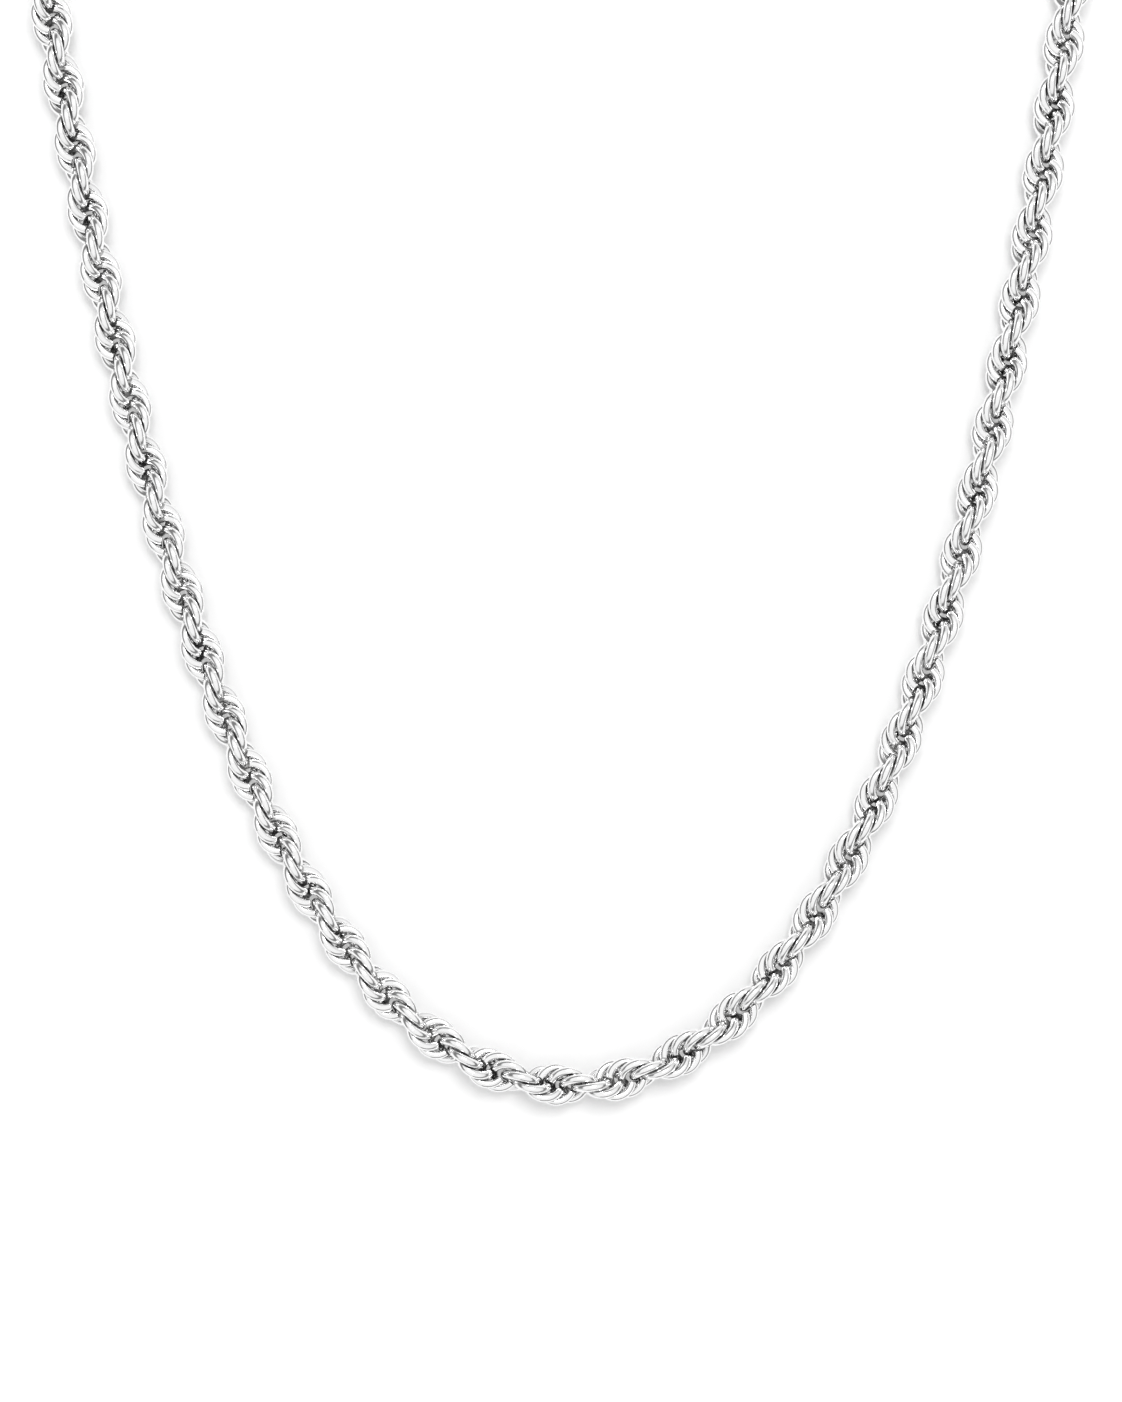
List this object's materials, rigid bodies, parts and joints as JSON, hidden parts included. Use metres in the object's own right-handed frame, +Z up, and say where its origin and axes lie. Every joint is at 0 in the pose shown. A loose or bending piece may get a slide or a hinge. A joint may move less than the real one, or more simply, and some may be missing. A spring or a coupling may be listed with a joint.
{
  "type": "rope chain necklace",
  "caption": "Rope-chain necklace of threaded round-wire rings twisted into a double helix, with cup end caps, a lobster clasp and a catch ring, lying open as a long loop.",
  "frame": {"origin": "middle of the loop's bounding box, on the surface that the necklace lies on", "axes": "+X across the loop to the catch ring's side, +Y from the front of the necklace to the clasp, +Z up from the surface"},
  "size_m": [0.1299, 0.2132, 0.0058],
  "materials": {
    "rope_silver": "mirror-polished silver wire",
    "cap_silver": "polished silver cup",
    "ring_silver": "polished silver wire",
    "clasp_silver": "polished cast silver",
    "spring_steel": "plain spring steel"
  },
  "bodies": {
    "rope_01": {"links_01": "rope_silver", "end_cap_left": "cap_silver"},
    "rope_02": {"links_02": "rope_silver"},
    "rope_03": {"links_03": "rope_silver"},
    "rope_04": {"links_04": "rope_silver"},
    "rope_05": {"links_05": "rope_silver"},
    "rope_06": {"links_06": "rope_silver"},
    "rope_07": {"links_07": "rope_silver"},
    "rope_08": {"links_08": "rope_silver"},
    "rope_09": {"links_09": "rope_silver"},
    "rope_10": {"links_10": "rope_silver"},
    "rope_11": {"links_11": "rope_silver"},
    "rope_12": {"links_12": "rope_silver"},
    "rope_13": {"links_13": "rope_silver"},
    "rope_14": {"links_14": "rope_silver"},
    "rope_15": {"links_15": "rope_silver"},
    "rope_16": {"links_16": "rope_silver"},
    "rope_17": {"links_17": "rope_silver"},
    "rope_18": {"links_18": "rope_silver"},
    "rope_19": {"links_19": "rope_silver"},
    "rope_20": {"links_20": "rope_silver"},
    "rope_21": {"links_21": "rope_silver"},
    "rope_22": {"links_22": "rope_silver"},
    "rope_23": {"links_23": "rope_silver"},
    "rope_24": {"links_24": "rope_silver"},
    "rope_25": {"links_25": "rope_silver"},
    "rope_26": {"links_26": "rope_silver"},
    "rope_27": {"links_27": "rope_silver"},
    "rope_28": {"links_28": "rope_silver"},
    "rope_29": {"links_29": "rope_silver"},
    "rope_30": {"links_30": "rope_silver"},
    "rope_31": {"links_31": "rope_silver"},
    "rope_32": {"links_32": "rope_silver"},
    "rope_33": {"links_33": "rope_silver"},
    "rope_34": {"links_34": "rope_silver"},
    "rope_35": {"links_35": "rope_silver"},
    "rope_36": {"links_36": "rope_silver"},
    "rope_37": {"links_37": "rope_silver"},
    "rope_38": {"links_38": "rope_silver"},
    "rope_39": {"links_39": "rope_silver"},
    "rope_40": {"links_40": "rope_silver"},
    "rope_41": {"links_41": "rope_silver"},
    "rope_42": {"links_42": "rope_silver"},
    "rope_43": {"links_43": "rope_silver", "end_cap_right": "cap_silver"},
    "jump_ring": {"jump_ring": "ring_silver"},
    "clasp": {"clasp_body": "clasp_silver", "clasp_pin": "clasp_silver", "clasp_spring": "spring_steel"},
    "lever": {"clasp_lever": "clasp_silver"},
    "catch_ring": {"catch_ring": "ring_silver"}
  },
  "joints": [
    {"name": "jump_ring_swing", "type": "hinge", "parent": "rope_01", "child": "jump_ring", "pos_m": [-0.01753, 0.10139, 0.0029], "axis": [0, 0, 1], "range_deg": [-60, 60]},
    {"name": "clasp_swing", "type": "hinge", "parent": "jump_ring", "child": "clasp", "pos_m": [-0.01327, 0.10248, 0.002], "axis": [0, 0, 1], "range_deg": [-60, 60]},
    {"name": "clasp_lever_turn", "type": "hinge", "parent": "clasp", "child": "lever", "pos_m": [-0.00925, 0.10298, 0.002], "axis": [0, 0, 1], "range_deg": [0, 24], "stiffness_Nm_per_rad": 0.003, "springref_deg": -20.05},
    {"name": "catch_ring_swing", "type": "hinge", "parent": "rope_43", "child": "catch_ring", "pos_m": [0.01753, 0.10139, 0.0029], "axis": [0, 0, 1], "range_deg": [-60, 60]},
    {"name": "flex_left_01", "type": "hinge", "parent": "rope_22", "child": "rope_21", "pos_m": [-0.00559, -0.10324, 0.0029], "axis": [0, 0, 1], "range_deg": [-3, 3]},
    {"name": "flex_left_02", "type": "hinge", "parent": "rope_21", "child": "rope_20", "pos_m": [-0.01575, -0.09852, 0.0029], "axis": [0, 0, 1], "range_deg": [-3, 3]},
    {"name": "flex_left_03", "type": "hinge", "parent": "rope_20", "child": "rope_19", "pos_m": [-0.02397, -0.09083, 0.0029], "axis": [0, 0, 1], "range_deg": [-3, 3]},
    {"name": "flex_left_04", "type": "hinge", "parent": "rope_19", "child": "rope_18", "pos_m": [-0.0305, -0.08165, 0.0029], "axis": [0, 0, 1], "range_deg": [-3, 3]},
    {"name": "flex_left_05", "type": "hinge", "parent": "rope_18", "child": "rope_17", "pos_m": [-0.0358, -0.07169, 0.0029], "axis": [0, 0, 1], "range_deg": [-3, 3]},
    {"name": "flex_left_06", "type": "hinge", "parent": "rope_17", "child": "rope_16", "pos_m": [-0.04021, -0.06131, 0.0029], "axis": [0, 0, 1], "range_deg": [-3, 3]},
    {"name": "flex_left_07", "type": "hinge", "parent": "rope_16", "child": "rope_15", "pos_m": [-0.04397, -0.05068, 0.0029], "axis": [0, 0, 1], "range_deg": [-3, 3]},
    {"name": "flex_left_08", "type": "hinge", "parent": "rope_15", "child": "rope_14", "pos_m": [-0.04724, -0.03989, 0.0029], "axis": [0, 0, 1], "range_deg": [-3, 3]},
    {"name": "flex_left_09", "type": "hinge", "parent": "rope_14", "child": "rope_13", "pos_m": [-0.05013, -0.02899, 0.0029], "axis": [0, 0, 1], "range_deg": [-3, 3]},
    {"name": "flex_left_10", "type": "hinge", "parent": "rope_13", "child": "rope_12", "pos_m": [-0.05272, -0.01801, 0.0029], "axis": [0, 0, 1], "range_deg": [-3, 3]},
    {"name": "flex_left_11", "type": "hinge", "parent": "rope_12", "child": "rope_11", "pos_m": [-0.05506, -0.00697, 0.0029], "axis": [0, 0, 1], "range_deg": [-3, 3]},
    {"name": "flex_left_12", "type": "hinge", "parent": "rope_11", "child": "rope_10", "pos_m": [-0.05719, 0.00411, 0.0029], "axis": [0, 0, 1], "range_deg": [-3, 3]},
    {"name": "flex_left_13", "type": "hinge", "parent": "rope_10", "child": "rope_09", "pos_m": [-0.05916, 0.01521, 0.0029], "axis": [0, 0, 1], "range_deg": [-3, 3]},
    {"name": "flex_left_14", "type": "hinge", "parent": "rope_09", "child": "rope_08", "pos_m": [-0.06097, 0.02635, 0.0029], "axis": [0, 0, 1], "range_deg": [-3, 3]},
    {"name": "flex_left_15", "type": "hinge", "parent": "rope_08", "child": "rope_07", "pos_m": [-0.06243, 0.03753, 0.0029], "axis": [0, 0, 1], "range_deg": [-3, 3]},
    {"name": "flex_left_16", "type": "hinge", "parent": "rope_07", "child": "rope_06", "pos_m": [-0.0621, 0.04879, 0.0029], "axis": [0, 0, 1], "range_deg": [-3, 3]},
    {"name": "flex_left_17", "type": "hinge", "parent": "rope_06", "child": "rope_05", "pos_m": [-0.05976, 0.0598, 0.0029], "axis": [0, 0, 1], "range_deg": [-3, 3]},
    {"name": "flex_left_18", "type": "hinge", "parent": "rope_05", "child": "rope_04", "pos_m": [-0.05548, 0.07022, 0.0029], "axis": [0, 0, 1], "range_deg": [-3, 3]},
    {"name": "flex_left_19", "type": "hinge", "parent": "rope_04", "child": "rope_03", "pos_m": [-0.0494, 0.07971, 0.0029], "axis": [0, 0, 1], "range_deg": [-3, 3]},
    {"name": "flex_left_20", "type": "hinge", "parent": "rope_03", "child": "rope_02", "pos_m": [-0.04172, 0.08795, 0.0029], "axis": [0, 0, 1], "range_deg": [-3, 3]},
    {"name": "flex_left_21", "type": "hinge", "parent": "rope_02", "child": "rope_01", "pos_m": [-0.03269, 0.09468, 0.0029], "axis": [0, 0, 1], "range_deg": [-3, 3]},
    {"name": "flex_right_01", "type": "hinge", "parent": "rope_22", "child": "rope_23", "pos_m": [0.00559, -0.10324, 0.0029], "axis": [0, 0, 1], "range_deg": [-3, 3]},
    {"name": "flex_right_02", "type": "hinge", "parent": "rope_23", "child": "rope_24", "pos_m": [0.01575, -0.09852, 0.0029], "axis": [0, 0, 1], "range_deg": [-3, 3]},
    {"name": "flex_right_03", "type": "hinge", "parent": "rope_24", "child": "rope_25", "pos_m": [0.02397, -0.09083, 0.0029], "axis": [0, 0, 1], "range_deg": [-3, 3]},
    {"name": "flex_right_04", "type": "hinge", "parent": "rope_25", "child": "rope_26", "pos_m": [0.0305, -0.08165, 0.0029], "axis": [0, 0, 1], "range_deg": [-3, 3]},
    {"name": "flex_right_05", "type": "hinge", "parent": "rope_26", "child": "rope_27", "pos_m": [0.0358, -0.07169, 0.0029], "axis": [0, 0, 1], "range_deg": [-3, 3]},
    {"name": "flex_right_06", "type": "hinge", "parent": "rope_27", "child": "rope_28", "pos_m": [0.04021, -0.06131, 0.0029], "axis": [0, 0, 1], "range_deg": [-3, 3]},
    {"name": "flex_right_07", "type": "hinge", "parent": "rope_28", "child": "rope_29", "pos_m": [0.04397, -0.05068, 0.0029], "axis": [0, 0, 1], "range_deg": [-3, 3]},
    {"name": "flex_right_08", "type": "hinge", "parent": "rope_29", "child": "rope_30", "pos_m": [0.04724, -0.03989, 0.0029], "axis": [0, 0, 1], "range_deg": [-3, 3]},
    {"name": "flex_right_09", "type": "hinge", "parent": "rope_30", "child": "rope_31", "pos_m": [0.05013, -0.02899, 0.0029], "axis": [0, 0, 1], "range_deg": [-3, 3]},
    {"name": "flex_right_10", "type": "hinge", "parent": "rope_31", "child": "rope_32", "pos_m": [0.05272, -0.01801, 0.0029], "axis": [0, 0, 1], "range_deg": [-3, 3]},
    {"name": "flex_right_11", "type": "hinge", "parent": "rope_32", "child": "rope_33", "pos_m": [0.05506, -0.00697, 0.0029], "axis": [0, 0, 1], "range_deg": [-3, 3]},
    {"name": "flex_right_12", "type": "hinge", "parent": "rope_33", "child": "rope_34", "pos_m": [0.05719, 0.00411, 0.0029], "axis": [0, 0, 1], "range_deg": [-3, 3]},
    {"name": "flex_right_13", "type": "hinge", "parent": "rope_34", "child": "rope_35", "pos_m": [0.05916, 0.01521, 0.0029], "axis": [0, 0, 1], "range_deg": [-3, 3]},
    {"name": "flex_right_14", "type": "hinge", "parent": "rope_35", "child": "rope_36", "pos_m": [0.06097, 0.02635, 0.0029], "axis": [0, 0, 1], "range_deg": [-3, 3]},
    {"name": "flex_right_15", "type": "hinge", "parent": "rope_36", "child": "rope_37", "pos_m": [0.06243, 0.03753, 0.0029], "axis": [0, 0, 1], "range_deg": [-3, 3]},
    {"name": "flex_right_16", "type": "hinge", "parent": "rope_37", "child": "rope_38", "pos_m": [0.0621, 0.04879, 0.0029], "axis": [0, 0, 1], "range_deg": [-3, 3]},
    {"name": "flex_right_17", "type": "hinge", "parent": "rope_38", "child": "rope_39", "pos_m": [0.05976, 0.0598, 0.0029], "axis": [0, 0, 1], "range_deg": [-3, 3]},
    {"name": "flex_right_18", "type": "hinge", "parent": "rope_39", "child": "rope_40", "pos_m": [0.05548, 0.07022, 0.0029], "axis": [0, 0, 1], "range_deg": [-3, 3]},
    {"name": "flex_right_19", "type": "hinge", "parent": "rope_40", "child": "rope_41", "pos_m": [0.0494, 0.07971, 0.0029], "axis": [0, 0, 1], "range_deg": [-3, 3]},
    {"name": "flex_right_20", "type": "hinge", "parent": "rope_41", "child": "rope_42", "pos_m": [0.04172, 0.08795, 0.0029], "axis": [0, 0, 1], "range_deg": [-3, 3]},
    {"name": "flex_right_21", "type": "hinge", "parent": "rope_42", "child": "rope_43", "pos_m": [0.03269, 0.09468, 0.0029], "axis": [0, 0, 1], "range_deg": [-3, 3]}
  ]
}
